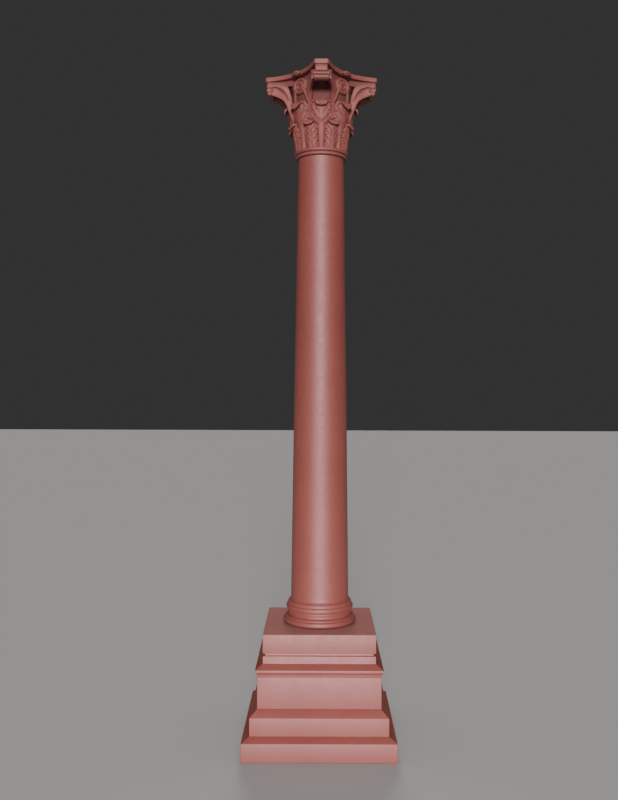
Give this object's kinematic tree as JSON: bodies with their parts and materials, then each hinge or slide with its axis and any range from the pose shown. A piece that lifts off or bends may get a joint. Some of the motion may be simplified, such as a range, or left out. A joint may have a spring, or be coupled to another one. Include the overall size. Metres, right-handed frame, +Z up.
{
  "type": "classical column",
  "caption": "Free-standing Corinthian column of red stone: smooth tapered shaft, leafy capital with corner scrolls, round moulded base and a stepped square pedestal.",
  "frame": {"origin": "centre of the pedestal's underside, on the ground and on the column's axis", "axes": "+Z up along the column's axis; the pedestal's faces look along X and Y, its front toward -Y; a corner of the abacus points along each of +X, +Y, -X and -Y"},
  "size_m": [1.0128, 1.0128, 4.5789],
  "materials": {
    "pedestal_stone": "honed",
    "turned_stone": "satin",
    "carved_stone": "carved"
  },
  "bodies": {
    "root": {"step_lower": "pedestal_stone", "step_upper": "pedestal_stone", "pedestal_die": "pedestal_stone", "pedestal_cap": "pedestal_stone", "plinth": "pedestal_stone", "column_base": "turned_stone", "shaft": "turned_stone", "capital": "carved_stone"}
  },
  "joints": []
}
